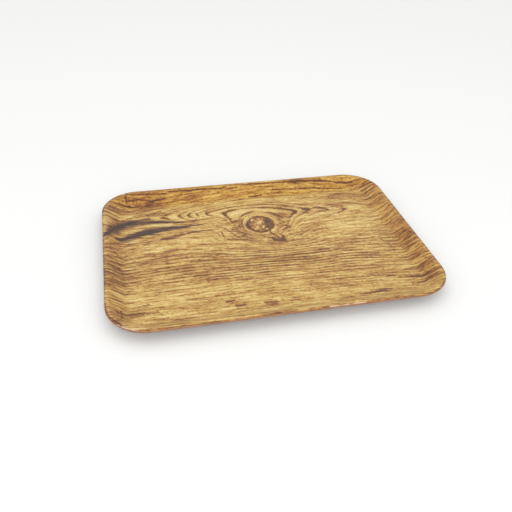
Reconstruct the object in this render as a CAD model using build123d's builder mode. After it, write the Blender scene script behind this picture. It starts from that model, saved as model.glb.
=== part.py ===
"""Form-pressed serving tray: a printed laminate face on cross-grained veneers, with a milled rim.

Eight sheets lie one inside the next, like nested dishes, and are glued in one pressing. All of them
are offsets of one master surface, the tray's upper face, so each sheet's underside is the face of
the sheet below it. "Depth" is the distance under the upper face, measured square to it.

Millimetres and degrees. +Z is up, and the origin is the centre of the underside, where it rests.
"""

import os
from math import asin, cos, degrees, radians, sin, sqrt

from build123d import *

# Tray, over the rim
tray_length = 450.0  # along X
tray_width = 320.0  # along Y
corner_radius = 53.5  # of the rim's outline, seen from above

# Upper face, from the rim down to the floor of the well
inner_depth = 15.0  # from the lip down to the floor
lip_width = 3.0  # level stretch at the rim
rim_radius = 9.0  # where the lip turns down into the wall
wall_angle = 38.0  # of the wall's straight stretch, up from level
floor_radius = 10.0  # where the wall turns into the floor
edge_bulge = 1.3  # how far the milled edge swells out past its upper and lower corners

# Sheets, from the upper face down
overlay_thickness = 0.2  # clear melamine wear film
print_thickness = 0.3  # printed decor paper, pressed with its underlay
veneer_thickness = 0.6  # each of the five veneers
backing_thickness = 0.5  # plain laminate, which balances the face

sheets = [
    ("clear_overlay", overlay_thickness),
    ("printed_sheet", print_thickness),
    ("face_veneer", veneer_thickness),
    ("upper_cross_veneer", veneer_thickness),
    ("core_veneer", veneer_thickness),
    ("lower_cross_veneer", veneer_thickness),
    ("back_veneer", veneer_thickness),
    ("backing_sheet", backing_thickness),
]

# Levels and places that follow from them
stack = sum(thickness for name, thickness in sheets)
floor_level = stack
lip_level = stack + inner_depth
nose_radius = (edge_bulge**2 + (stack / 2) ** 2) / (2 * edge_bulge)
corner_x = tray_length / 2 - corner_radius
corner_y = tray_width / 2 - corner_radius

slope = radians(wall_angle)
bends = rim_radius + floor_radius
slope_length = (inner_depth - bends * (1 - cos(slope))) / sin(slope)
wall_run = bends * sin(slope) + slope_length * cos(slope)


def nose_angle(depth):
    """The angle, up from level, at which the milled edge's arc crosses this depth."""
    return degrees(asin((stack / 2 - depth) / nose_radius))


def face_line(reach, depth):
    """The face at this depth, from the section's inner end out to the rim, as lines and arcs.

    The floor's bend has its centre above the sheets and the rim's bend has it below them, so one
    radius grows with depth as the other shrinks. Returns the first and last points.
    """
    rim_centre = (reach - lip_width, lip_level - rim_radius)
    floor_centre = (reach - lip_width - wall_run, floor_level + floor_radius)
    nose_inset = nose_radius - sqrt(nose_radius**2 - (stack / 2 - depth) ** 2)

    floor_bend = CenterArc(floor_centre, floor_radius + depth, -90, wall_angle)
    rim_bend = CenterArc(rim_centre, rim_radius - depth, 90 + wall_angle, -wall_angle)
    floor = Line((0, floor_level - depth), floor_bend @ 0)
    Line(floor_bend @ 1, rim_bend @ 0)
    lip = Line(rim_bend @ 1, (reach - nose_inset, lip_level - depth))
    return floor @ 0, lip @ 1


def sheet_outline(reach, top, bottom):
    """One sheet's closed section between two depths, ending in its share of the milled edge."""
    top_inner, _ = face_line(reach, top)
    bottom_inner, _ = face_line(reach, bottom)
    Line(top_inner, bottom_inner)
    nose_centre = (reach - nose_radius, lip_level - stack / 2)
    CenterArc(nose_centre, nose_radius, nose_angle(bottom), nose_angle(top) - nose_angle(bottom))


os.makedirs("parts", exist_ok=True)

corner_axis = Axis((corner_x, corner_y, 0), (0, 0, 1))
long_side = Plane.YZ
corner_side = Plane((corner_x, corner_y, 0), x_dir=(1, 0, 0), z_dir=(0, -1, 0))

depth = 0.0
for name, thickness in sheets:
    with BuildPart() as sheet:
        # Half of the floor and the long wall, from the middle of the tray to the corner
        with BuildSketch(long_side) as long_section:
            with BuildLine():
                sheet_outline(tray_width / 2, depth, depth + thickness)
            make_face()
        extrude(long_section.sketch, amount=corner_x)

        # The short wall, and the quarter turn of the corner from the same section
        with BuildSketch(corner_side) as corner_section:
            with BuildLine():
                sheet_outline(corner_radius, depth, depth + thickness)
            make_face()
        extrude(corner_section.sketch, amount=corner_y)
        revolve(corner_section.sketch, axis=corner_axis, revolution_arc=90)

        mirror(about=Plane.YZ)
        mirror(about=Plane.XZ)
    sheet.part.label = name
    export_step(sheet.part, f"parts/{name}.step")
    depth += thickness
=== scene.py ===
from math import cos, radians, sin

import bpy
import numpy as np
from mathutils import Matrix, Vector


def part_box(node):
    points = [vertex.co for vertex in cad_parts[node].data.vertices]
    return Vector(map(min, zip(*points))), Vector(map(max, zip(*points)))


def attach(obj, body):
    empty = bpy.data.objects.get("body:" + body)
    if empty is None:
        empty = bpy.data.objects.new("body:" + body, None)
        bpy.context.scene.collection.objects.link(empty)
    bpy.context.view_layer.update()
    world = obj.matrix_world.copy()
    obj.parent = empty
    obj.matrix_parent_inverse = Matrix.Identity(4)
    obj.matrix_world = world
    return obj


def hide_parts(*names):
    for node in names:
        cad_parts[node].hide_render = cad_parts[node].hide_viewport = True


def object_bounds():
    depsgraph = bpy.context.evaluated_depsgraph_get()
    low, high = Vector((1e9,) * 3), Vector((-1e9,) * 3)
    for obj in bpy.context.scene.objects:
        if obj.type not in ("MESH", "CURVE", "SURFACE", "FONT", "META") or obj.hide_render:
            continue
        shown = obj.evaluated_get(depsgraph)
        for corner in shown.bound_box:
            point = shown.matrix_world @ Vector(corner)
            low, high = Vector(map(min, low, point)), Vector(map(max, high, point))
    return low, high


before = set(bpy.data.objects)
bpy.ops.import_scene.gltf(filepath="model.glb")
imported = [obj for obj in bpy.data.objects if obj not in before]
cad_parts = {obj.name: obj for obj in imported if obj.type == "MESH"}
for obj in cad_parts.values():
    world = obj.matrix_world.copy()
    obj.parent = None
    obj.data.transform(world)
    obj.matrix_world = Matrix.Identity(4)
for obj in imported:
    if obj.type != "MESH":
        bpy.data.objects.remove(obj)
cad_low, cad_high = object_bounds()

MM = 0.001  # a millimetre in metres, which is what one unit is here

# ---------------------------------------------------------------------------------------------
# Backing sheet: the plain brown laminate on the underside. It balances the pull of the printed
# face so that the tray stays flat, and the tray rests on it. All eight sheets are pressed hot in
# one mould, so each follows the same section, set off by its depth below the upper face.

corner_radius = 53.5 * MM
inner_depth = 15 * MM
lip_width = 3 * MM
rim_radius = 9 * MM
floor_radius = 10 * MM
wall_slope = radians(38)
edge_bulge = 1.3 * MM

lip_level = cad_high[2]
stack = lip_level - inner_depth
corner_x = cad_high[0] - corner_radius
corner_y = cad_high[1] - corner_radius
nose_radius = (edge_bulge**2 + (stack / 2) ** 2) / (2 * edge_bulge)
bends = rim_radius + floor_radius
slope_length = (inner_depth - bends * (1 - cos(wall_slope))) / sin(wall_slope)
floor_inset = lip_width + bends * sin(wall_slope) + slope_length * cos(wall_slope)
floor_corner = corner_radius - floor_inset

# Steps along half of a long side and half of a short side, as fine as the printed face needs.
cells_x, cells_y = 136, 91


def depths(node):
    """How far below the tray's upper face a sheet's own face and underside lie, from its box."""
    low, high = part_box(node)
    return lip_level - high.z, stack - low.z


def around():
    """Where the section is carried: round the corners' axes, with the outward normal at each step.

    Each of the four sides runs from the middle of one corner to the middle of the next. Its steps
    are even along the floor's edge, first over half an arc, then straight, then half an arc.
    """
    sides = ((corner_x, corner_y, cells_x), (corner_y, corner_x, cells_y)) * 2
    centres, normals = [], []
    for quarter, (along, out, cells) in enumerate(sides):
        step = np.arange(-cells, cells) / cells * (along + floor_corner * np.pi / 4)
        straight = np.clip(step, -along, along)
        turn = (step - straight) / floor_corner
        turned = np.array(Matrix.Rotation(-quarter * np.pi / 2, 2)).T
        centres.append(np.stack([straight, np.full_like(step, out)], 1) @ turned)
        normals.append(np.stack([np.sin(turn), np.cos(turn)], 1) @ turned)
    return np.concatenate(centres), np.concatenate(normals)


def face_section(depth, rim_steps, slope_steps, floor_steps):
    """The face at a depth, from the floor's edge out to the lip: inset from the rim, and level.

    Arc, straight, arc: the floor's bend has its centre above the sheets and the rim's bend below
    them, so with depth one radius grows and the other shrinks.
    """
    turn = np.linspace(0, wall_slope, floor_steps)
    floor_bend = floor_radius + depth
    inset_a = floor_inset - floor_bend * np.sin(turn)
    level_a = stack + floor_radius - floor_bend * np.cos(turn)
    turn = np.linspace(wall_slope, 0, rim_steps)
    rim_bend = rim_radius - depth
    inset_b = lip_width + rim_bend * np.sin(turn)
    level_b = lip_level - rim_radius + rim_bend * np.cos(turn)
    inset = [inset_a, np.linspace(inset_a[-1], inset_b[0], slope_steps + 2)[1:-1], inset_b]
    level = [level_a, np.linspace(level_a[-1], level_b[0], slope_steps + 2)[1:-1], level_b]
    return np.concatenate(inset), np.concatenate(level)


def sheet_section(top, bottom, rim_steps, slope_steps, floor_steps):
    """A sheet's section: up its face, round its share of the milled edge, and back underneath.

    The milled edge is one shallow arc over the whole stack, bulging out past its two corners.
    """
    up = face_section(top, rim_steps, slope_steps, floor_steps)
    depth = np.linspace(top, bottom, 4)
    nose = nose_radius - np.sqrt(nose_radius**2 - (stack / 2 - depth) ** 2)
    back = face_section(bottom, rim_steps=5, slope_steps=1, floor_steps=6)
    inset = np.concatenate([up[0], nose, back[0][::-1]])
    level = np.concatenate([up[1], lip_level - depth, back[1][::-1]])
    return inset, level


def carry(section):
    """Points of a section carried round the tray: rows by the section, columns by the path."""
    inset, level = section
    centres, normals = around()
    plan = centres[None] + normals[None] * (corner_radius - inset)[:, None, None]
    height = np.repeat(level[:, None], len(centres), 1)
    return np.concatenate([plan, height[:, :, None]], 2)


def strip_faces(index):
    """Quads between neighbouring rows of vertex numbers, closed round, with outsides outward."""
    ahead = np.roll(index, -1, 1)
    return np.stack([index[:-1], ahead[:-1], ahead[1:], index[1:]], 2).reshape(-1, 4)


def make_piece(name, points, faces, material):
    """A mesh piece in the tray's one body, smooth but for the corners of the milled edge."""
    mesh = bpy.data.meshes.new(name)
    mesh.from_pydata(points.reshape(-1, 3), [], faces)
    mesh.shade_smooth()
    mesh.set_sharp_from_angle(angle=radians(30))
    mesh.materials.append(material)
    piece = bpy.data.objects.new(name, mesh)
    bpy.context.scene.collection.objects.link(piece)
    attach(piece, "root")
    return piece


def pressed_sheet(node, material):
    """A sheet between its two depths, closed over the flat floor by one face above and below."""
    points = carry(sheet_section(*depths(node), rim_steps=8, slope_steps=3, floor_steps=9))
    index = np.arange(points.shape[0] * points.shape[1]).reshape(points.shape[:2])
    faces = strip_faces(index).tolist()
    faces.append(index[0, ::-1].tolist())
    faces.append(index[-1].tolist())
    piece = make_piece("laid_" + node, points, faces, material)
    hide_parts(node)


def linear(colour):
    """An sRGB hex colour as the linear values that a shader takes."""
    share = np.array([int(colour[i : i + 2], 16) / 255 for i in (1, 3, 5)])
    value = np.where(share <= 0.04045, share / 12.92, ((share + 0.055) / 1.055) ** 2.4)
    return (*value.tolist(), 1.0)


def add(tree, kind, inputs=None, stops=None, **settings):
    """One shader node with its settings, its ramp's stops, and each input's value or link."""
    made = tree.nodes.new("ShaderNode" + kind)
    for name, value in settings.items():
        setattr(made, name, value)
    for number, (place, colour) in enumerate((stops or {}).items()):
        ramp = made.color_ramp.elements
        stop = ramp[number] if number < 2 else ramp.new(place)
        stop.position, stop.color = place, linear(colour)
    for name, value in (inputs or {}).items():
        if isinstance(value, bpy.types.Node):
            value = value.outputs[0]
        if isinstance(value, bpy.types.NodeSocket):
            tree.links.new(value, made.inputs[name])
        else:
            made.inputs[name].default_value = value
    return made


def new_material(name):
    """An empty material: its node tree and its surface shader, joined to the output."""
    material = bpy.data.materials.new(name)
    material.use_nodes = True
    tree = material.node_tree
    return material, tree, tree.nodes["Principled BSDF"]


# Brown melamine laminate, pressed against a matt plate: an even umber with a fine pebble that
# breaks the light up, and paler rubbed patches where it has slid over tables.
pebble, rubbed_patch = 0.9 * MM, 60 * MM
backing_laminate, tree, surface = new_material("matt_brown_melamine_laminate")
place = add(tree, "TexCoord").outputs["Object"]
grit = add(tree, "TexNoise", {"Vector": place, "Scale": 1 / pebble, "Detail": 2.0})
patches = {"Vector": place, "Scale": 1 / rubbed_patch, "Detail": 6.0, "Roughness": 0.7}
rubbed = add(tree, "TexNoise", patches)
brown = add(tree, "ValToRGB", {"Fac": rubbed}, {0.35: "#4A3020", 0.55: "#553826", 0.75: "#6B4A34"})
speck = add(tree, "MixRGB", {"Fac": 0.35, "Color1": brown, "Color2": grit}, blend_type="SOFT_LIGHT")
tree.links.new(speck.outputs[0], surface.inputs["Base Color"])
gloss = {"From Min": 0.3, "From Max": 0.7, "To Min": 0.62, "To Max": 0.42}
dull = add(tree, "MapRange", {"Value": rubbed, **gloss})
tree.links.new(dull.outputs[0], surface.inputs["Roughness"])
bump = add(tree, "Bump", {"Height": grit, "Strength": 0.35, "Distance": 0.08 * MM})
tree.links.new(bump.outputs[0], surface.inputs["Normal"])
surface.inputs["IOR"].default_value = 1.5

pressed_sheet("backing_sheet", backing_laminate)

# ---------------------------------------------------------------------------------------------
# The five veneers that carry the tray: rotary-cut birch, glued with its grain turned by a
# quarter from sheet to sheet. They show only at the milled edge, which is sanded and lacquered.
# The fibres are drawn coarser than real ones, which would be too fine to show.

fibre_width, fibre_length, lacquer_patch = 0.35 * MM, 9 * MM, 18 * MM


def lacquered_veneer(name, stretch, light, dark):
    """Birch under clear lacquer: a satin gloss over fine fibres, darker where they drink it in."""
    material, tree, surface = new_material(name)
    place = add(tree, "TexCoord").outputs["Object"]
    drawn = add(tree, "Mapping", {"Vector": place, "Scale": stretch})
    fibres = add(tree, "TexNoise", {"Vector": drawn, "Scale": 1.0, "Detail": 4.0, "Roughness": 0.65})
    patches = add(tree, "TexNoise", {"Vector": place, "Scale": 1 / lacquer_patch, "Detail": 3.0})
    both = add(tree, "Math", {0: fibres, 1: patches}, operation="ADD")
    tone = add(tree, "MapRange", {"Value": both, "From Min": 0.7, "From Max": 1.3})
    colour = add(tree, "ValToRGB", {"Fac": tone}, {0.0: dark, 1.0: light})
    tree.links.new(colour.outputs[0], surface.inputs["Base Color"])
    bump = add(tree, "Bump", {"Height": fibres, "Strength": 0.3, "Distance": 0.05 * MM})
    tree.links.new(bump.outputs[0], surface.inputs["Normal"])
    surface.inputs["Roughness"].default_value = 0.42
    surface.inputs["Coat Weight"].default_value = 0.35
    surface.inputs["Coat Roughness"].default_value = 0.25
    return material


along_x = (1 / fibre_length, 1 / fibre_width, 1 / fibre_width)
along_y = (1 / fibre_width, 1 / fibre_length, 1 / fibre_width)
long_grain = lacquered_veneer("lacquered_birch_long_grain", along_x, "#AB773F", "#7D5129")
cross_grain = lacquered_veneer("lacquered_birch_cross_grain", along_y, "#96653A", "#6B4424")

for veneer in ("back_veneer", "core_veneer", "face_veneer"):
    pressed_sheet(veneer, long_grain)
for veneer in ("lower_cross_veneer", "upper_cross_veneer"):
    pressed_sheet(veneer, cross_grain)

# ---------------------------------------------------------------------------------------------
# Printed face: a decor paper printed as a knotty board, under a clear melamine overlay. The two
# are pressed into one skin, so they are one piece here. It is modelled on a fine grid, because
# the drawing of the board is laid on its points and bends over the fold with the paper.


def floor_grid():
    """The flat floor as nested rounded rectangles, each one cell inside the last.

    A long side of one frame is walked by length from corner middle to corner middle: over half
    an arc, straight, over half an arc. A short side is the same with its axes exchanged.
    """
    i, j = np.mgrid[-cells_x : cells_x + 1, -cells_y : cells_y + 1]
    frames = np.minimum(cells_x - abs(i), cells_y - abs(j))
    cell = (corner_y + floor_corner) / cells_y
    bend = np.maximum(floor_corner - frames * cell, 0)
    half_x = corner_x + floor_corner - frames * cell - bend
    half_y = corner_y + floor_corner - frames * cell - bend

    def walk(step, steps, straight_half, out_half, side):
        """A step along one side of a frame, straight or in an arc: how far along and how far out."""
        length = step / np.maximum(steps, 1) * (straight_half + bend * np.pi / 4)
        straight = np.clip(length, -straight_half, straight_half)
        turn = (length - straight) / np.maximum(bend, 1e-9)
        return straight + bend * np.sin(turn), np.sign(side) * (out_half + bend * np.cos(turn))

    long_side = abs(j) == cells_y - frames
    across_x, across_y = walk(i, cells_x - frames, half_x, half_y, j)
    down_y, down_x = walk(j, cells_y - frames, half_y, half_x, i)
    x = np.where(long_side, across_x, down_x)
    y = np.where(long_side, across_y, down_y)
    return np.stack([x, y, np.full_like(x, stack)], 2)


# The floor's grid, and the section carried round from its edge, over the fold, the wall, the rim
# and the milled edge to the sheet's back. The section's first row is the edge of the grid.
top, _ = depths("clear_overlay")
_, bottom = depths("printed_sheet")
section = sheet_section(top, bottom, rim_steps=10, slope_steps=10, floor_steps=10)
wall = carry(section)
floor_points = floor_grid()
rows, columns = wall.shape[:2]
numbers = np.arange(floor_points.shape[0] * floor_points.shape[1]).reshape(floor_points.shape[:2])
edge = [numbers[:-1, -1], numbers[-1, :0:-1], numbers[:0:-1, 0], numbers[0, :-1]]
band = numbers.size + np.arange((rows - 1) * columns).reshape(rows - 1, columns)
index = np.concatenate([np.concatenate(edge)[None], band])
flat = np.stack([numbers[:-1, :-1], numbers[1:, :-1], numbers[1:, 1:], numbers[:-1, 1:]], 2)
faces = flat.reshape(-1, 4).tolist() + strip_faces(index).tolist() + [index[-1].tolist()]
points = np.concatenate([floor_points.reshape(-1, 3), wall[1:].reshape(-1, 3)])

# Where each point lay before pressing, on the flat print: out from the floor's edge by its way
# along the section.
run = np.hypot(np.diff(section[0]), np.diff(section[1])).cumsum()
centres, normals = around()
unrolled = centres[None] + normals[None] * (floor_corner + run[:, None, None])
unrolled = np.concatenate([floor_points[:, :, :2].reshape(-1, 2), unrolled.reshape(-1, 2)])
x, y = points[:, 0] / MM, points[:, 1] / MM

# The year rings of the printed board, in millimetres from the tray's middle, with x along it
# and y to its back: for each ring, where its dark line runs. Ring 0 is just outside the big knot,
# and the rings grow out from there into pointed loops and then straight grain.
knot = (7.5, 56)
rings = [
    (-3, [knot]),
    (-2, [(7.5, 62), (13, 56), (7.5, 50), (2, 56)]),
    (-1, [(7.5, 70.5), (18, 66), (22, 56), (18, 46), (7.5, 41.5), (-3, 46), (-7, 56), (-3, 66)]),
    (0, [(7.5, 79), (24, 72), (30.5, 56), (24, 40), (7.5, 33), (-9, 40), (-15.5, 56), (-9, 72)]),
    (1, [(-24, 58), (-20, 74), (-7, 87), (10, 90), (26, 86), (38, 75), (41, 58), (35, 42), (24, 30),
         (8, 26), (-8, 29), (-19, 42)]),
    (2, [(5, 19), (-12, 22), (-23, 32), (-29, 46), (-32, 60), (-34, 72), (-38, 83), (-42.5, 94),
         (-39, 100.5), (-25, 103), (0, 104.5), (20, 103), (40, 98), (60, 90), (75, 81.5), (67, 74),
         (60, 67), (55, 56), (51, 44), (44, 33), (34, 23), (22, 18)]),
    (3, [(5, 15.5), (-14, 19.5), (-25, 29), (-32, 43), (-36, 56), (-40, 69), (-46, 80), (-56, 87),
         (-63, 91.5), (-68.5, 97), (-63, 101.5), (-55, 105), (-45, 107.5), (-20, 111.5), (10, 112.5),
         (40, 107.5), (70, 96), (88, 88), (97, 82), (86, 75.5), (76, 70), (66, 62), (58, 50), (51, 38),
         (42, 27), (34, 18), (22, 14.5)]),
    (4, [(5, 13), (-18, 18), (-29, 31), (-36, 45), (-41, 58), (-46, 70), (-54, 80), (-66, 86),
         (-77, 91), (-83, 98), (-79, 104), (-68, 108.5), (-50, 113), (-20, 117.5), (10, 119),
         (50, 114.5), (85, 101), (110, 91), (126, 80), (108, 73), (92, 67), (76, 58), (64, 46),
         (54, 34), (44, 23), (36, 15), (22, 12)]),
    (5, [(5, 10.5), (-22, 16.5), (-33, 31), (-40, 45), (-46, 58), (-52, 69), (-62, 78), (-78, 85),
         (-91, 91), (-97, 98), (-92, 105), (-80, 111), (-55, 119), (-20, 124), (10, 125.5), (55, 121),
         (100, 105), (135, 91), (157, 75), (136, 66), (112, 61), (88, 53), (72, 43), (58, 30),
         (47, 20), (38, 13), (24, 10)]),
    (6, [(5, 8.5), (-26, 15.5), (-36, 29), (-44, 44), (-50, 58), (-58, 67), (-70, 75), (-90, 83),
         (-104, 90), (-112, 99), (-104, 107), (-88, 115), (-60, 124), (10, 131), (60, 127), (115, 108),
         (160, 95), (225, 76)]),
    (6, [(225, 62), (180, 60), (140, 56), (110, 52), (86, 46), (72, 37), (58, 26), (48, 17), (39, 11),
         (26, 8)]),
    (7, [(5, 6), (-31, 15), (-41, 31), (-48, 45), (-55, 57), (-65, 66), (-82, 73), (-108, 82),
         (-126, 91), (-137, 98), (-128, 107), (-105, 117), (-70, 129), (10, 137), (70, 132),
         (130, 112), (180, 100), (225, 90)]),
    (7, [(225, 52), (150, 49), (110, 45), (86, 40), (70, 30), (56, 19), (46, 11), (36, 6), (20, 5)]),
    (8, [(-225, 30), (-215, 44), (-208, 62), (-199, 77), (-187, 85), (-165, 87), (-145, 86),
         (-125, 80), (-100, 73), (-80, 68), (-66, 60), (-57, 48), (-52, 34), (-46, 22), (-32, 11),
         (5, 3)]),
    (8, [(225, 42), (150, 40), (110, 38), (84, 32), (66, 20), (52, 9), (36, 3.5), (20, 2)]),
    (8, [(-225, 98), (-190, 100), (-160, 104), (-135, 113), (-105, 124), (-60, 135), (10, 143),
         (80, 138), (140, 120), (225, 102)]),
    (9, [(-225, 20), (-205, 36), (-190, 44), (-175, 53), (-150, 64), (-125, 68), (-100, 65), (-82, 60),
         (-68, 52), (-60, 40), (-54, 26), (-44, 15), (-30, 8), (5, 1)]),
    (9, [(225, 28), (150, 30), (110, 28), (84, 22), (66, 12), (50, 5), (30, 1)]),
    (10, [(-225, 12), (-190, 33), (-165, 44), (-140, 52), (-115, 54), (-90, 50), (-74, 40), (-64, 27),
          (-52, 14), (-32, 4), (5, -2)]),
    (10, [(225, 16), (150, 20), (110, 19), (84, 13), (60, 2), (40, -2)]),
    (10, [(-225, 116), (-180, 118), (-140, 126), (-100, 135), (-40, 145), (20, 150), (90, 145),
         (150, 131), (225, 118)]),
    (11, [(-225, 4), (-190, 22), (-150, 36), (-120, 41), (-95, 37), (-77, 27), (-62, 14), (-45, 5),
          (-22, -2), (5, -5), (50, -4), (84, 4), (110, 10), (150, 10), (225, 5)]),
    (12, [(-225, -5), (-150, 22), (-110, 25), (-82, 16), (-62, 6), (-40, -2), (5, -8.5), (50, -9),
          (84, -5), (110, 1), (150, 0), (225, -6)]),
    (14, [(-225, -18), (-150, -4), (-75, -7), (-40, -14), (5, -18), (60, -18), (110, -14), (160, -17),
          (225, -26)]),
    (13, [(-225, 142), (-150, 148), (-60, 158), (40, 164), (150, 148), (225, 138)]),
    (16, [(-225, 168), (-100, 176), (40, 184), (225, 160)]),
    (17, [(-225, -35), (-150, -27), (-75, -28), (5, -34), (60, -37), (110, -34), (160, -40), (225, -48)]),
    (20, [(-225, -53), (-120, -46), (5, -50), (60, -54), (110, -52), (160, -58), (225, -67)]),
    (24, [(-225, -76), (-120, -70), (5, -73), (110, -76), (225, -91)]),
    (30, [(-225, -109), (-120, -104), (5, -106), (110, -110), (225, -125)]),
    (38, [(-225, -153), (-120, -148), (5, -150), (110, -155), (225, -169)]),
]


def spline_kernel(offset):
    """The thin-plate kernel r squared times log r."""
    squared = (offset**2).sum(-1)
    return squared * np.log(np.maximum(squared, 1e-9)) / 2


def thin_plate(places, values, x, y):
    """The smoothest surface through values at places, read at x and y, as a bent thin plate.

    It is a plane plus one kernel for each place, with weights that solve for the values and leave
    the kernels no lift or tilt of their own. The points are taken in batches to spare memory.
    """
    places, values = np.array(places, float), np.array(values, float)
    plane = np.column_stack([np.ones(len(places)), places])
    bent = spline_kernel(places[:, None] - places[None])
    system = np.block([[bent, plane], [plane.T, np.zeros((3, 3))]])
    weights = np.linalg.solve(system, np.concatenate([values, np.zeros(3)]))
    result = np.empty(len(x))
    for batch in np.array_split(np.arange(len(x)), 12):
        here = np.column_stack([x[batch], y[batch]])
        bent = spline_kernel(here[:, None] - places[None])
        result[batch] = bent @ weights[:-3] + weights[-3] + here @ weights[-2:]
    return result


def streak(points, x, y):
    """One at a line's middle and nothing at its half width, along a line of (x, y, half width)."""
    here = np.column_stack([x, y])
    shade = np.zeros(len(x))
    points = np.array(points, float)
    for start, end in zip(points[:-1], points[1:]):
        along = end[:2] - start[:2]
        share = np.clip((here - start[:2]) @ along / (along @ along), 0, 1)
        off = np.hypot(*(here - start[:2] - share[:, None] * along).T)
        width = start[2] + share * (end[2] - start[2])
        shade = np.maximum(shade, 1 - off / width)
    return shade


def patch(centre, reach, x, y):
    """A soft oval spot: one at its centre, falling off as a bell curve over its reach."""
    return np.exp(-(((x - centre[0]) / reach[0]) ** 2) - ((y - centre[1]) / reach[1]) ** 2)


ring_places = [place for _, places in rings for place in places]
ring_numbers = [number for number, places in rings for _ in places]
ring = thin_plate(ring_places, ring_numbers, x, y)


def flow_round(centre, radius, x, y):
    """How far across the grain a point is, where fibres part round a knot as water round a post.

    The stream lines are the imaginary part of z + r squared / z, and z keeps the post's radius
    inside the post.
    """
    offset = (x - centre[0]) + 1j * (y - centre[1])
    outside = offset * np.maximum(radius / np.maximum(abs(offset), 1e-6), 1)
    return y + (radius**2 / outside).imag


# How far across the grain each point is, in mm. The fibres part round the knot, fall away a little
# to the right in front of it, and sway.
flow_radius, right_fall, sway, sway_length = 26, 0.07, 2.5, 60
fibre_across = flow_round(knot, flow_radius, x, y)
fibre_across += right_fall * np.clip(x, 0, None) * np.clip((40 - y) / 60, 0, 1)
fibre_across += sway * np.sin(x / sway_length + y / 40)

# Where resin and bark have stained the board dark: (x, y, half width) along each stain. The soft
# stains are the brown that has spread into the wood round the two large ones.
stains = [
    [(-222, 42, 3), (-217, 50, 5), (-211, 63, 7), (-207, 76, 8), (-199, 85, 12), (-188, 90.5, 14),
     (-176, 92, 11), (-166, 89, 6.5), (-150, 88, 5), (-138, 87, 4), (-120, 82.5, 3), (-102, 80, 2)],
    [(-186, 95, 6), (-170, 97, 5), (-156, 98, 3.5)],
    [(-198, 50, 2.5), (-184, 53, 6), (-170, 56, 7), (-158, 59, 8), (-146, 62, 6), (-136, 65, 3)],
    [(-176, 64, 5), (-160, 67, 9), (-146, 67.5, 9), (-132, 68.5, 7), (-116, 69, 5), (-98, 69.5, 3.5),
     (-78, 70, 1.5)],
    [(-9, 48, 2), (-11.5, 55, 4), (-10, 62, 2)],
    [(20, 68, 2), (21, 58, 4), (20, 48, 6), (15, 45, 3)],
]
soft_stains = [
    [(-222, 44, 5), (-208, 72, 13), (-192, 89, 19), (-168, 90, 12), (-138, 87, 7), (-104, 80, 3)],
    [(-206, 47, 6), (-182, 56, 15), (-158, 62, 16), (-132, 67, 12), (-100, 69, 5)],
]
stain = np.max([streak(line, x, y) for line in stains], 0)
soft_stain = np.max([streak(line, x, y) for line in soft_stains], 0)
stain = np.maximum(stain, 0.95 * soft_stain)


def arc(radius, angles, widths):
    """Points round the knot, at angles in degrees, with a half width at each."""
    turn = np.radians(angles)
    return np.column_stack([knot[0] + radius * np.cos(turn), knot[1] + radius * np.sin(turn), widths])


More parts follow.
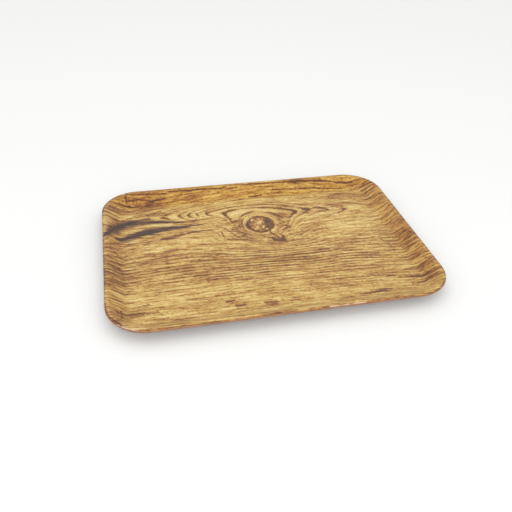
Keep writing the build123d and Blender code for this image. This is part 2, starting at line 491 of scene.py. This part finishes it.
# Smaller brown marks: (x, y, half width) along each.
marks = [
    # the knot's rim and the bark inside it
    arc(19, [105, 130, 155, 180, 205, 230, 255], [2, 3, 5, 7, 6, 4, 3]),
    arc(27.5, [140, 165, 190, 215, 240, 265], [1.5, 2, 2.4, 2, 1.6, 1]),
    arc(20, [25, 45, 65, 85, 105], [3, 4.5, 5, 4.5, 3]),
    arc(21, [-55, -35, -10, 10, 30], [3, 4, 4.5, 4, 3.5]),
    arc(20.5, [240, 265, 285, 305], [2, 5, 5, 2]),
    [(25, 70, 3), (24, 62, 4), (23, 50, 8), (19, 46, 7), (14, 45, 3)],
    # the crack out of the knot, and the clump of bark that it ends in
    [(18, 74, 1.5), (17, 60, 2), (19, 50, 3), (19.5, 38, 3), (19, 30, 3.2), (23, 24, 3)],
    [(5, 22, 2), (12, 20, 4), (17, 18, 3.6), (20, 13, 3.6), (26, 9, 4.4), (36, 8.5, 3)],
    [(30, 28, 2), (35, 20, 3.4), (34, 12, 3.6)],
    [(20, 27, 2.4), (25, 22, 3.2), (28, 15, 3)],
    # dark growth round the knot
    [(-15, 82, 1.5), (-10, 87, 2.5), (-5, 90, 3.2), (1, 91.5, 3.4), (7, 92, 2)],
    [(22, 88, 1), (34, 84, 1.6), (42, 75, 2.4), (46, 68, 1.5)],
    [(32, 53, 1.5), (33, 49, 3)],
    [(43, 48, 1.5), (48, 45, 2.5), (54, 43, 1)],
    [(-34, 69, 3), (-24, 71, 3)],
    [(-27, 55, 3), (-20, 53, 4)],
    [(-25, 29, 3), (-20, 31, 3)],
    [(-58, 62, 1), (-48, 54, 1.8), (-41, 43, 2), (-35, 33, 2), (-30, 27, 1.2)],
    [(-54, 46, 1.2), (-53, 38, 2), (-52, 27, 1.6), (-44, 23.5, 1.6), (-36, 21.5, 1.2), (-18, 20, 1)],
    # the rings' pointed tips, to the right of the knot and to its left
    [(46, 98, 1.5), (60, 91, 2.5), (67, 86, 4), (72, 82, 6), (67, 77, 3), (60, 68, 1.5)],
    [(82, 93, 1.5), (88, 86, 4), (96, 83, 2)],
    [(83, 76, 1.5), (91, 75, 2)],
    [(102, 89, 1.5), (113, 84, 4), (121, 82, 5.5), (125, 78, 4)],
    [(134, 85, 1.5), (146, 80, 2.5), (154, 76, 4), (148, 70, 2.5), (139, 66, 1.5)],
    [(-20, 102.5, 1.5), (-34, 99, 4), (-40, 93, 5), (-38, 85, 1.6), (-34, 78, 1), (-32, 71, 0.8)],
    [(-65, 104, 1.5), (-69, 99, 3.5), (-65, 93, 2)],
    [(-84, 103, 2), (-81, 93, 1.5)],
    [(-93, 104, 1.5), (-97, 98, 2.5), (-91, 92, 1.5)],
    [(-112, 101, 2), (-104, 91, 1.5)],
    [(-140, 99, 3), (-135, 98, 4), (-126, 92, 2)],
    [(-190, 104, 2), (-165, 107.5, 2.5), (-148, 113, 3.5), (-136, 117, 2)],
    # pale brown streaks below the stains
    [(-143, 42, 4), (-130, 43, 8), (-120, 46.5, 7), (-108, 48.5, 4)],
    [(-104, 50, 3.5), (-94, 52.5, 4.5), (-80, 53, 3), (-68, 53, 1.5)],
    [(-205, 37, 1.5), (-180, 37.5, 2), (-156, 39, 1.5)],
    # pin knots and torn grain in front
    [(-74, -110, 4), (-65, -109, 4)],
    [(-64, -121, 4), (-55, -120, 3)],
    [(-27, -120, 4), (-19, -121, 9), (-11, -122, 4)],
    [(104, -127.5, 2), (118, -127.5, 4.4), (130, -127, 3.4), (143, -129, 1.6)],
    [(116, -122, 1.6), (130, -124, 3), (146, -125, 1.6)],
    [(152, -99, 2), (161, -99, 3)],
    [(165, -104, 1.6), (185, -106, 2.6), (205, -108, 2.4), (216, -107, 1.4)],
    [(178, -121, 1.4), (198, -119, 2.4), (213, -118, 1.8)],
    [(-180, -98, 2), (-172, -98, 3.5)],
    [(-198, -112, 2), (-184, -112, 3.4), (-160, -114, 1.6)],
    [(-206, -108, 1), (-205, -122, 1.6), (-207, -134, 1.2)],
    [(-216, -131, 1.6), (-211, -138, 2.8), (-204, -146, 1.6)],
    # the join between two lengths of the print, on the back wall
    [(-188, 137, 2.4), (-188, 155, 2.4)],
    # dark grain on the back wall
    [(78, 151, 2), (86, 151, 3), (92, 150, 1.5)],
    [(-187, 152.5, 2), (-160, 151.5, 2.4), (-124, 149.5, 1.4)],
    [(-120, 152, 1.4), (-70, 152, 1.8), (-10, 150, 1.4)],
    [(-186, 143, 2.4), (-170, 145, 3), (-150, 142, 3), (-128, 143, 1.8)],
    [(-161, 135, 2), (-154, 136, 3.2), (-148, 136, 1.2)],
    [(-200, 136, 2), (-186, 136, 3), (-176, 134, 1.8)],
    [(-30, 155, 1.4), (40, 153, 2), (110, 151, 1.6)],
    [(50, 143, 1.6), (110, 141, 2), (175, 136, 1.6)],
    [(70, 154, 1.6), (110, 152, 2), (150, 148, 2), (190, 141, 1.6)],
    [(8, 136, 2), (20, 136, 2.8), (30, 137, 1.6)],
]
mark = np.max([streak(line, x, y) for line in marks], 0)

# The rim band, where the film is rubbed and which is drawn darker, and the front lip, darker still as
# painted shade.
outer = np.hypot(np.maximum(abs(x) - corner_x / MM, 0), np.maximum(abs(y) - corner_y / MM, 0))
rim_band, rim_fade = 2.2, 1.5
rim = np.clip((outer - corner_radius / MM + rim_band) / rim_fade, 0, 1)
front_lip_shade = rim * (y < -100)
# Two places on the front lip's edge where a pinkish white highlight is painted: (x, y, half width) along
# each.
glint_lines = [
    [(46, -159.5, 2.5), (70, -160, 4.5), (92, -159.5, 2.5)],
    [(-210, -142, 2), (-202, -149, 4), (-190, -155.5, 3)],
]
painted_glint = rim * np.max([streak(line, x, y) for line in glint_lines], 0)

# How pale the board is from place to place, and how strongly its rings are drawn: soft spots,
# each with its strength, its middle and its reach. The two long bands down the left and right walls
# darken them as painted shade.
pale_spots = [
    (-0.1, (-150, -32), (75, 30)), (-0.1, (-10, -38), (80, 26)), (-0.05, (140, -40), (70, 26)),
    (0.16, (-145, -88), (65, 15)), (0.10, (0, -88), (90, 20)), (0.16, (145, 45), (65, 38)),
    (0.10, (0, 118), (90, 12)), (0.14, (-95, 30), (45, 18)), (-0.20, (47, 62), (9, 22)),
    (-0.16, (-22, 42), (14, 24)), (-0.18, (25, 56), (8, 18)), (0.3, (0, 51), (4, 6)),
    (0.3, (7, 62), (6, 5)), (0.25, (25, 36), (5, 5)), (0.2, (-12, 74), (4, 9)),
    (0.15, (30, 17), (2.5, 6)), (0.21, (-105, 97), (50, 9)), (-0.18, (-210, 0), (14, 150)),
    (-0.2, (212, 0), (14, 150)), (-0.14, (165, 116), (50, 10)), (0.05, (0, -145), (240, 10)),
    (0.12, (0, -121), (220, 8)), (-0.2, (-208, -122), (12, 24)), (-0.12, (190, -108), (28, 8)),
    (-0.2, (-200, 126), (45, 9)), (-0.16, (-120, 143), (60, 12)), (0.1, (0, 145), (60, 12)),
    (-0.08, (140, -95), (70, 20)), (-0.08, (20, -95), (60, 20)), (0.12, (-40, 92), (60, 14)),
    (0.12, (10, 92), (40, 8)),
]
# Darker along the rim band, and darker again on the front lip as painted shade.
pale = -0.2 * rim - 0.15 * front_lip_shade
pale = pale + sum(strength * patch(centre, reach, x, y) for strength, centre, reach in pale_spots)
drawn_spots = [
    (0.6, (-105, 97), (48, 12)), (0.4, (115, 82), (60, 14)), (0.1, (62, 30), (30, 20)),
    (0.3, (210, 60), (22, 90)), (0.3, (-212, 60), (20, 90)), (0.65, (0, -32), (200, 36)),
]
drawn = 0.35 + sum(strength * patch(centre, reach, x, y) for strength, centre, reach in drawn_spots)
pointed_loops = patch((8, 92), (95, 26), x, y) * np.clip(1.7 - abs(ring - 2.5), 0, 1)
drawn = drawn + 0.9 * pointed_loops

# Inside the knot and its clump of bark there is burl and no ring. The back wall, the right end and
# the front lip get a darker, warmer tint, which is painted shade.
knot_radius, knot_fade = 20, 4
knotty = np.clip((knot_radius - np.hypot(x - knot[0], y - knot[1])) / knot_fade, 0, 1)
knotty = np.maximum(knotty, 1.6 * patch((22, 15), (15, 8), x, y))
drawn = drawn * (1 - 0.85 * knotty)
# Painted shade: the back wall, the right wall and the front lip are multiplied by a warm tint.
warm_shade = np.clip((y - 128) / 7, 0, 1) + 0.5 * np.clip((x - 196) / 8, 0, 1) + 0.6 * front_lip_shade
warm_shade = np.clip(warm_shade, 0, 1)

# Satin melamine over printed wood: a clear hard film over a golden brown board. Its press plate has
# left a faint peel, drawn a little coarser than the real one, that softens every reflection. The
# board is ink under the film, so it has no relief, and only rubbing changes the gloss.
burl_size, nick_size, rubbed_size, peel_size = 7 * MM, 6 * MM, 30 * MM, 1.4 * MM
printed, tree, surface = new_material("satin_melamine_over_printed_wood")
object_place = add(tree, "TexCoord").outputs["Object"]
apart = add(tree, "SeparateXYZ", {"Vector": add(tree, "UVMap", uv_map="grain")})
along, across = apart.outputs["X"], apart.outputs["Y"]
drawing = {
    "pale": pale, "drawn": drawn, "stain": stain, "mark": mark, "warm_shade": warm_shade, "knot": knotty,
    "ring": ring, "lip": rim, "painted_glint": painted_glint,
}
ink = {name: add(tree, "Attribute", attribute_name=name).outputs["Fac"] for name in drawing}


def grain_noise(run, width, detail=3.0, roughness=0.6, shift=0.0):
    """Noise drawn out along the grain: its length along it and its width across, in mm."""
    u = add(tree, "Math", {0: along, 1: 1 / run, 2: shift}, operation="MULTIPLY_ADD")
    v = add(tree, "Math", {0: across, 1: 1 / width, 2: shift}, operation="MULTIPLY_ADD")
    place = add(tree, "CombineXYZ", {"X": u, "Y": v})
    return add(tree, "TexNoise", {"Vector": place, "Scale": 1.0, "Detail": detail, "Roughness": roughness})


# The year rings: each darkens slowly into its latewood, ends at once, and breaks off in places.
waver = grain_noise(45, 9, 2.0)
phase = add(tree, "Math", {0: waver, 1: 0.4, 2: ink["ring"]}, operation="MULTIPLY_ADD")
phase = add(tree, "Math", {0: phase, 1: 0.6}, operation="ADD")
phase = add(tree, "Math", {0: phase}, operation="FRACT")
latewood = {
    0.0: "#000000", 0.3: "#0A0A0A", 0.58: "#9A9A9A", 0.8: "#FFFFFF", 0.93: "#909090", 1.0: "#000000",
}
line = add(tree, "ValToRGB", {"Fac": phase}, latewood)
gaps = grain_noise(40, 5, 3.0, 0.6, 7.0)
broken = add(tree, "MapRange", {"Value": gaps, "From Min": 0.36, "From Max": 0.6, "To Min": 0.45})
line = add(tree, "Math", {0: line, 1: broken}, operation="MULTIPLY")
line = add(tree, "Math", {0: line, 1: ink["drawn"]}, operation="MULTIPLY")

# The patterns of the wood. Fibres are a pore's streak long and wide, and flecks are the short dark
# pores. Streaks and mottle are bands of darker board, burl is the knot's inside, and nicks are rubs
# on the rim.
fibres = grain_noise(18, 1.9, 4.0, 0.75)
flecks = grain_noise(5.5, 1.7, 3.0, 0.65, 3.0)
flecks = add(tree, "MapRange", {"Value": flecks, "From Min": 0.5, "From Max": 0.68})
streaks = grain_noise(60, 5, 2.0, 0.6, 23.0)
mottle = grain_noise(34, 14, 5.0, 0.7, 11.0)
burl = add(tree, "TexNoise", {"Vector": object_place, "Scale": 1 / burl_size, "Detail": 3.0})
burl_range = {"From Min": 0.35, "From Max": 0.65, "To Min": -0.55, "To Max": 0.15}
burl = add(tree, "MapRange", {"Value": burl, **burl_range})
nicks = add(tree, "TexNoise", {"Vector": object_place, "Scale": 1 / nick_size, "Detail": 3.0})
nicks = add(tree, "MapRange", {"Value": nicks, "From Min": 0.45, "From Max": 0.62, "To Max": -0.35})
frayed = add(tree, "Math", {0: ink["mark"], 1: 1.2, 2: fibres}, operation="MULTIPLY_ADD")
frayed = add(tree, "Math", {0: flecks, 1: 0.5, 2: frayed}, operation="MULTIPLY_ADD")
frayed = add(tree, "MapRange", {"Value": frayed, "From Min": 0.8, "From Max": 1.6})

# The tone, from the darkest brown at nothing to the palest at one: each pattern and its strength.
tone = add(tree, "Math", {0: ink["pale"], 1: -1.35}, operation="ADD")
strengths = (
    (fibres, 1.75), (mottle, 1.05), (streaks, 1.3), (flecks, -0.42), (line, -0.75),
    (burl, ink["knot"]), (nicks, ink["lip"]), (frayed, -0.62),
)
for pattern, strength in strengths:
    tone = add(tree, "Math", {0: pattern, 1: strength, 2: tone}, operation="MULTIPLY_ADD")
wood_browns = {
    0.0: "#5F3A1C", 0.14: "#784B25", 0.28: "#92602D", 0.42: "#AD7B3D", 0.56: "#BF954D",
    0.7: "#CAA85C", 0.84: "#D6B86E", 1.0: "#E4CC88",
}
wood = add(tree, "ValToRGB", {"Fac": tone}, wood_browns)

# Over that lie the stains, which bleed along the grain, then the warm painted shade, and on the front
# lip's edge a painted pinkish white highlight, broken up by the rim's rubs.
bleed = grain_noise(30, 3.2, 4.0, 0.7, 31.0)
bled = add(tree, "Math", {0: bleed, 1: 2.3, 2: ink["stain"]}, operation="MULTIPLY_ADD")
bark = add(tree, "MapRange", {"Value": bled, "From Min": 1.4, "From Max": 2.2})
bark = add(tree, "Math", {0: flecks, 1: -0.5, 2: bark}, operation="MULTIPLY_ADD")
bark_browns = {0.0: "#936539", 0.2: "#754A2D", 0.55: "#4C3226", 1.0: "#38281F"}
bark = add(tree, "ValToRGB", {"Fac": bark}, bark_browns)
soaked = add(tree, "MapRange", {"Value": bled, "From Min": 1.3, "From Max": 1.8})
stained = add(tree, "MixRGB", {"Fac": soaked, "Color1": wood, "Color2": bark})
warm_shade_mix = {"Fac": ink["warm_shade"], "Color1": stained, "Color2": linear("#EFDFB0")}
shade_warmed = add(tree, "MixRGB", warm_shade_mix, blend_type="MULTIPLY")
glint_amount = add(tree, "Math", {0: nicks, 1: 1.2, 2: ink["painted_glint"]}, operation="MULTIPLY_ADD")
glint_amount = add(tree, "MapRange", {"Value": glint_amount, "From Min": 0.1, "From Max": 0.5, "To Max": 0.8})
glinted = add(tree, "MixRGB", {"Fac": glint_amount, "Color1": shade_warmed, "Color2": linear("#DDC3B4")})
tree.links.new(glinted.outputs[0], surface.inputs["Base Color"])

# The film: rubbed in soft patches, and a shade duller over the pale fibres.
surface.inputs["IOR"].default_value = 1.5
rubbed = add(tree, "TexNoise", {"Vector": object_place, "Scale": 1 / rubbed_size, "Detail": 3.0})
sheen = add(tree, "Math", {0: fibres, 1: 0.4, 2: rubbed}, operation="MULTIPLY_ADD")
sheen_range = {"From Min": 0.5, "From Max": 0.9, "To Min": 0.4, "To Max": 0.54}
sheen = add(tree, "MapRange", {"Value": sheen, **sheen_range})
tree.links.new(sheen.outputs[0], surface.inputs["Roughness"])
peel = add(tree, "TexNoise", {"Vector": object_place, "Scale": 1 / peel_size, "Detail": 2.0})
relief = add(tree, "Bump", {"Height": peel, "Strength": 0.12, "Distance": 0.05 * MM})
tree.links.new(relief.outputs[0], surface.inputs["Normal"])

face = make_piece("printed_face", points, faces, printed)
loop_points = np.empty(len(face.data.loops), int)
face.data.loops.foreach_get("vertex_index", loop_points)
grain_places = np.column_stack([unrolled[:, 0] / MM, fibre_across])
grain_map = face.data.uv_layers.new(name="grain")
grain_map.data.foreach_set("uv", grain_places[loop_points].ravel())
for name, values in drawing.items():
    stored = face.data.attributes.new(name, "FLOAT", "POINT")
    stored.data.foreach_set("value", values)
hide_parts("printed_sheet", "clear_overlay")

# ---------------------------------------------------------------------------------------------
# Camera, floor and light: the tray lies on white paper in a light tent, and is seen from the front
# and a little from the left, from above its rim.

view_azimuth, view_elevation, view_roll = radians(-14.633), radians(36.96), radians(2.63)
tray_depth = cad_high[1] - cad_low[1]
distance = 2.5087 * tray_depth
aside, above = -0.0313 * tray_depth, -0.0859 * tray_depth
lens, sensor = 39.29, 36  # mm

toward = Vector((sin(view_azimuth) * cos(view_elevation), -cos(view_azimuth) * cos(view_elevation), 0))
toward.z = sin(view_elevation)
level = Vector((0, 0, 1)).cross(toward).normalized()
upright = toward.cross(level)
right = cos(view_roll) * level + sin(view_roll) * upright
up = cos(view_roll) * upright - sin(view_roll) * level
stand = Vector((0, 0, lip_level)) + toward * distance + level * aside + upright * above
camera = bpy.data.objects.new("camera", bpy.data.cameras.new("camera"))
camera.data.sensor_width = sensor
camera.data.lens = lens
camera.matrix_world = Matrix.Translation(stand) @ Matrix((right, up, toward)).transposed().to_4x4()
bpy.context.scene.collection.objects.link(camera)
bpy.context.scene.camera = camera
bpy.context.scene.view_settings.view_transform = "Standard"

# Uncoated white paper: even and without gloss.
paper, tree, surface = new_material("white_paper_sweep")
surface.inputs["Base Color"].default_value = linear("#F4F4F2")
surface.inputs["Roughness"].default_value = 0.9
half = 6  # metres, far enough for its edge to be out of the picture
corners = [(-half, -half, 0), (half, -half, 0), (half, half, 0), (-half, half, 0)]
mesh = bpy.data.meshes.new("floor")
mesh.from_pydata(corners, [], [(0, 1, 2, 3)])
mesh.materials.append(paper)
floor = bpy.data.objects.new("floor", mesh)
bpy.context.scene.collection.objects.link(floor)


def softbox(name, place, size, power):
    """A square soft light of a size in metres and a power in watts, turned to face the tray."""
    light = bpy.data.lights.new(name, "AREA")
    light.size = size
    light.energy = power
    lamp = bpy.data.objects.new(name, light)
    lamp.location = place
    lamp.rotation_euler = (-Vector(place)).to_track_quat("-Z", "Y").to_euler()
    bpy.context.scene.collection.objects.link(lamp)


softbox("overhead_light", (0.1, 0.6, 1.9), 2.4, 2)
softbox("front_light", (-0.4, -1.8, 0.8), 1.8, 20)
world = bpy.data.worlds.new("studio")
world.use_nodes = True
world.node_tree.nodes["Background"].inputs["Color"].default_value = (1, 1, 1, 1)
world.node_tree.nodes["Background"].inputs["Strength"].default_value = 0.93
bpy.context.scene.world = world
